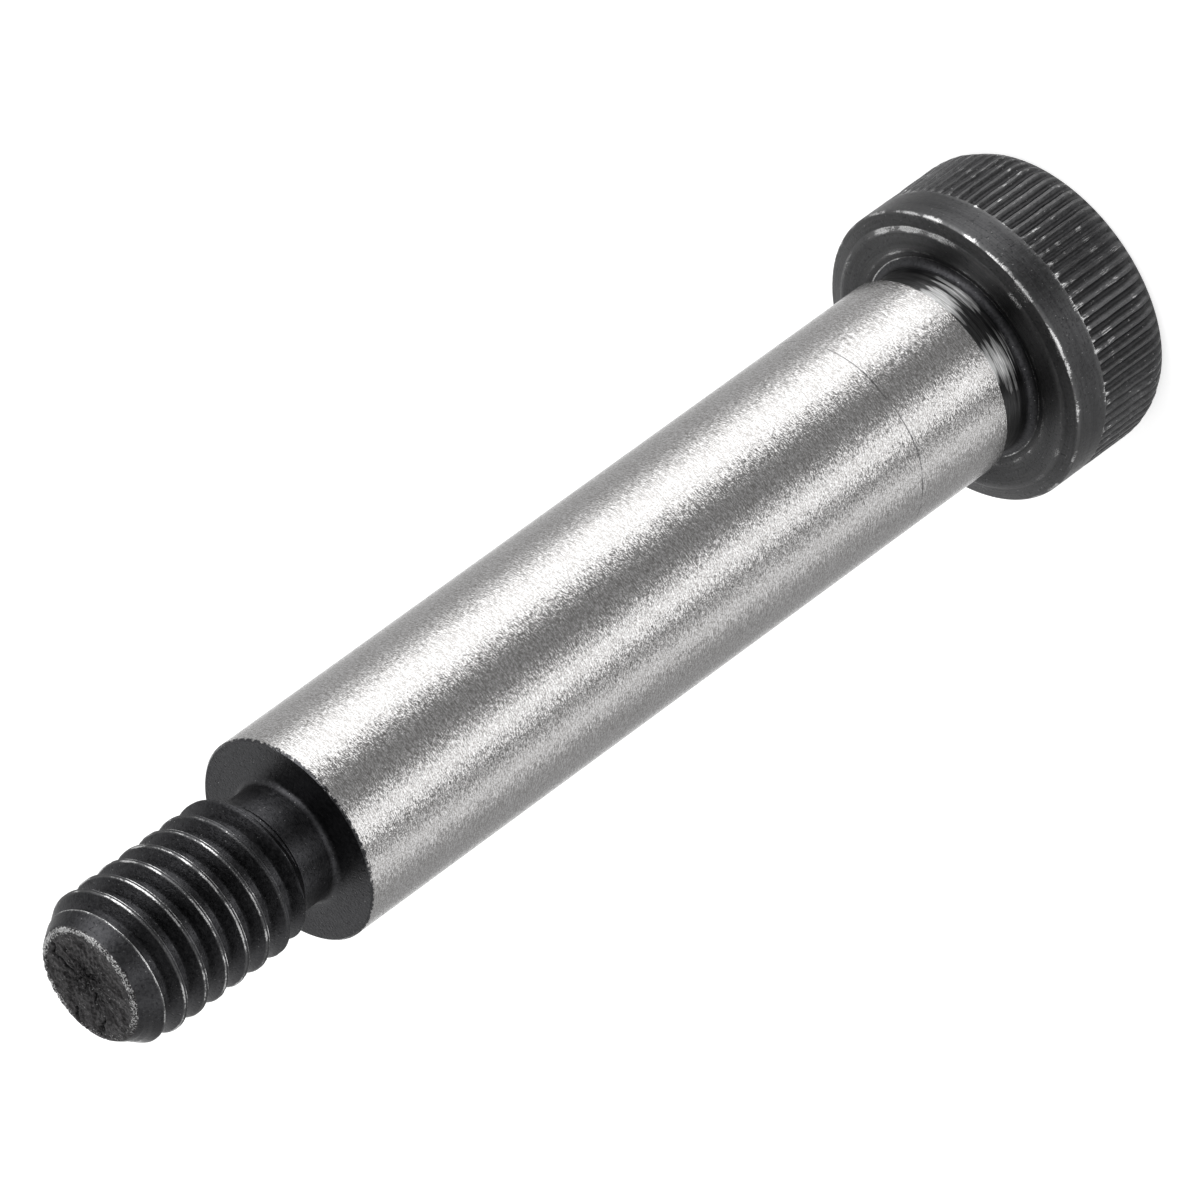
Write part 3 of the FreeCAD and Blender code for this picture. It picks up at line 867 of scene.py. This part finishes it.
def torn_depth(sizes, radius, angle):
    """How far the sheared end face lies under the tip's height, and how much of that is crack, which is
    painted dark together with painted shade over the torn hollow near where the shear began.
    """
    place = Vector((radius * cos(angle), radius * sin(angle))) / MM
    waved = place.to_3d() * 1.7
    wobble = Vector((noise.noise(waved), noise.noise(waved + Vector((9, 9, 9))))) * 0.35
    # the shear tore outwards from one side, so its lines spread like a fan
    from_start = place + wobble - Vector(sizes.shear_start) / MM
    fan = noise.noise(Vector((atan2(from_start.y, from_start.x) * 7, from_start.length * 0.7, 2)))
    pits = noise.fractal(place.to_3d() * 1.2 + Vector((5, 3, 1)), 0.9, 2.1, 6)
    crack = max(crack_share(place + wobble, [Vector(point) for point in path]) for path in CRACKS)
    near_rim = min(1.0, (sizes.tip_radius - radius) / (0.8 * MM))
    tearing = 1 / (1 + (from_start.length / 1.3) ** 2)
    torn = (max(0.0, 0.1 + pits) * 0.6 + (0.3 + max(0.0, 0.2 + fan) * 1.3) * tearing) * sizes.pit_depth
    # the second number is painted shade: the crack share, or a share of the tearing near where the shear
    # began
    return 0.015 * MM + (torn + crack * sizes.crack_depth) * near_rim, max(crack, 0.35 * tearing) * near_rim


class BOLT_OT_assemble(bpy.types.Operator):
    """Turns the socket, necks, shoulder and tip, welds them to the head and thread and gives the finishes"""
    bl_idname = "bolt.assemble"
    bl_label = "Bolt"

    def execute(self, context):
        scene = context.scene
        bm = new_bmesh()
        for name in ("knurled_head", "rolled_thread"):
            skin = bpy.data.objects[name]
            bm.from_mesh(skin.data)
            bpy.data.objects.remove(skin)
        for face in bm.faces:
            face.material_index = RUBBED if face.calc_center_median().z < BEARING_HEIGHT else OXIDE
        open_edges = [edge for edge in bm.edges if edge.is_boundary]
        in_head = [v for e in open_edges for v in e.verts if v.co.z < BEARING_HEIGHT]
        end_face = list({v for v in in_head if v.co.z < WELD})
        relief = list({v for v in in_head if v.co.z > WELD})
        join_rings(bm, socket_rings(bm, scene.bolt_head), end_face, RUBBED)
        join_rings(bm, relief, neck_and_shoulder_rings(bm, scene.bolt_head, scene.bolt_shank), OXIDE)
        tip_rings(bm, scene.bolt_thread)
        bmesh.ops.remove_doubles(bm, verts=bm.verts, dist=WELD)
        loose = [edge for edge in bm.edges if not edge.is_manifold]
        if loose:
            raise RuntimeError(f"the bolt isn't closed, {len(loose)} edges are loose")
        bmesh.ops.recalc_face_normals(bm, faces=bm.faces)
        if bm.calc_volume(signed=True) < 0:
            bmesh.ops.reverse_faces(bm, faces=bm.faces)
        for face in bm.faces:
            face.smooth = True
        piece = new_mesh_object("bolt", bm)
        piece.data.set_sharp_from_angle(angle=radians(32))
        for finish in (black_oxide, ground_steel, turned_steel, sheared_end, rubbed_oxide):
            piece.data.materials.append(finish(scene.bolt_finishes))
        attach(piece, "root")
        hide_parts(CAD_NODE)
        return {"FINISHED"}


# What the metal reflects round the bolt, level with it: the angle from the camera's side, clockwise seen from
# above, and how bright the studio is there. Strip softboxes stand between dark flags.
REFLECTED = (
    (-180, 1.30), (-168, 1.20), (-158, 0.66), (-112, 0.56), (-95, 0.85), (-80, 2.2), (-46, 2.2), (-34, 0.42),
    (-20, 0.34), (6, 0.36), (16, 0.75), (24, 1.85), (43, 1.8), (50, 0.24), (63, 0.32), (71, 1.4), (88, 1.1),
    (100, 0.50), (155, 0.46), (163, 1.00), (180, 1.30),
)
# And above it: the sine of the angle over the horizon, and how bright the studio is there
REFLECTED_ABOVE = ((0.45, 1.0), (0.62, 0.66), (0.80, 0.20), (1.0, 0.15))


def studio_world(scene):
    """White behind the bolt, and the softboxes and flags that its metal reflects."""
    world = bpy.data.worlds.new("studio")
    scene.world = world
    add = emptied(world)
    toward = add(SEPARATE, (add("ShaderNodeTexCoord"),)).node.outputs
    facing = scene.bolt_studio.azimuth - pi / 2
    angle = add(SUBTRACT, (facing, add(MATHS, (toward["Y"], toward["X"]), operation="ARCTAN2")))
    angle = add(MATHS, (angle, pi, -pi), operation="WRAP")
    share = add(RANGE, (angle, -pi, pi))
    around = add("ShaderNodeValToRGB", (share,))
    set_stops(around, [((turn + 180) / 360, bright) for turn, bright in REFLECTED])
    above = add("ShaderNodeValToRGB", (toward["Z"],))
    set_stops(above, REFLECTED_ABOVE)
    # the strips reach high up on the camera's side, while behind the bolt the light comes from above
    side = add(RANGE, (add(ABSOLUTE, (angle,)), radians(100), radians(140)))
    low = add(RANGE, (side, 0, 1, 0.5, 0.15))
    high = add(RANGE, (side, 0, 1, 0.9, 0.45))
    lifted = add(RANGE, (toward["Z"], low, high))
    seen = add(MIX, {0: lifted, 6: around, 7: above}, out=2)
    rays = add("ShaderNodeLightPath").node.outputs
    plain = add(MIX, {0: rays["Is Camera Ray"], 6: (0.8, 0.8, 0.8, 1), 7: (1, 1, 1, 1)}, out=2)
    chosen = add(MIX, {0: rays["Is Glossy Ray"], 6: plain, 7: seen}, out=2)
    add("ShaderNodeOutputWorld", (add("ShaderNodeBackground", (chosen, 1.0)),))


def set_stops(ramp, stops):
    """Gives a colour ramp these stops: places from 0 to 1 with the brightness at each."""
    elements = ramp.node.color_ramp.elements
    elements[0].position, elements[1].position = stops[0][0], stops[-1][0]
    for place, _ in stops[1:-1]:
        elements.new(place)
    for element, (_, bright) in zip(elements, stops):
        element.color = (bright, bright, bright, 1.0)


def studio_floor(scene):
    """A large pale floor that keeps the bolt's soft shadow and meets the white behind it."""
    bm = bmesh.new()
    bmesh.ops.create_grid(bm, x_segments=1, y_segments=1, size=4.0)
    floor = new_mesh_object("floor", bm)
    material = bpy.data.materials.new("white_sweep")
    add = emptied(material)
    glow = add(MULTIPLY, (add("ShaderNodeLightPath", out="Is Camera Ray"), 0.6))
    paper = add("ShaderNodeBsdfDiffuse", {"Color": (0.8, 0.8, 0.8, 1.0)})
    glow = add("ShaderNodeEmission", {"Strength": glow})
    add("ShaderNodeOutputMaterial", (add("ShaderNodeAddShader", (paper, glow)),))
    floor.data.materials.append(material)
    floor.visible_glossy = False


def view_axes(studio):
    """The camera's right, up and forward directions in the frame."""
    a, e = studio.azimuth, studio.elevation
    forward = Vector((-sin(a) * cos(e), cos(a) * cos(e), -sin(e)))
    level = Vector((cos(a), sin(a), 0))
    upright = level.cross(forward)
    right = level * cos(studio.roll) + upright * sin(studio.roll)
    up = upright * cos(studio.roll) - level * sin(studio.roll)
    return right, up, forward


def put(scene, data, place, turn):
    """Puts a camera or a lamp in the scene."""
    made = bpy.data.objects.new(data.name, data)
    made.matrix_world = Matrix.Translation(place) @ turn.to_4x4()
    scene.collection.objects.link(made)
    return made


def studio_camera(scene):
    """The camera, placed by where it sees the middle of the shoulder's end face."""
    studio = scene.bolt_studio
    right, up, forward = view_axes(studio)
    seat = Vector((0, 0, SEAT_HEIGHT))
    place = seat - right * studio.seat_right + up * studio.seat_down - forward * studio.seat_ahead
    lens = bpy.data.cameras.new("camera")
    lens.lens = studio.lens
    lens.sensor_width = 36
    scene.camera = put(scene, lens, place, Matrix((right, up, -forward)).transposed())


def studio_lamps(scene):
    """One large soft lamp high up on the camera's left."""
    data = bpy.data.lights.new("soft_lamp", "AREA")
    data.shape = "DISK"
    data.size = 0.5
    data.energy = scene.bolt_studio.soft_light
    right, up, forward = view_axes(scene.bolt_studio)
    aim, distance = Vector((0, 0, SEAT_HEIGHT / 2)), 0.7
    place = aim + (up * 0.5 - right * 0.3 - forward * 0.35 + Vector((0, 0, 0.6))).normalized() * distance
    put(scene, data, place, (aim - place).to_track_quat("-Z", "Y").to_matrix())


class BOLT_OT_studio(bpy.types.Operator):
    """Makes the floor, the surroundings, the lamp and the camera"""
    bl_idname = "bolt.studio"
    bl_label = "Studio"

    def execute(self, context):
        scene = context.scene
        studio_world(scene)
        studio_floor(scene)
        studio_lamps(scene)
        studio_camera(scene)
        scene.view_settings.view_transform = "Standard"
        return {"FINISHED"}


class BOLT_PT_panel(bpy.types.Panel):
    """Buttons for the bolt's pieces and the studio"""
    bl_idname = "BOLT_PT_panel"
    bl_label = "Shoulder Bolt"
    bl_space_type = "VIEW_3D"
    bl_region_type = "UI"
    bl_category = "Shoulder Bolt"

    def draw(self, context):
        for operator in OPERATORS:
            self.layout.operator(operator.bl_idname)


GROUPS = {
    "bolt_head": HeadSizes,
    "bolt_shank": ShankSizes,
    "bolt_thread": ThreadSizes,
    "bolt_finishes": Finishes,
    "bolt_studio": Studio,
}
OPERATORS = (BOLT_OT_knurled_head, BOLT_OT_rolled_thread, BOLT_OT_assemble, BOLT_OT_studio)


def register():
    """Registers the sizes, the operators and the panel."""
    for cls in (*GROUPS.values(), *OPERATORS, BOLT_PT_panel):
        bpy.utils.register_class(cls)
    for name, group in GROUPS.items():
        setattr(bpy.types.Scene, name, PointerProperty(type=group))


def unregister():
    """Takes them all away again."""
    for name in GROUPS:
        delattr(bpy.types.Scene, name)
    for cls in (BOLT_PT_panel, *reversed(OPERATORS), *reversed(GROUPS.values())):
        bpy.utils.unregister_class(cls)


def main():
    """Makes the whole scene."""
    register()
    bpy.ops.bolt.knurled_head()
    bpy.ops.bolt.rolled_thread()
    bpy.ops.bolt.assemble()
    bpy.ops.bolt.studio()


if __name__ == "__main__":
    main()
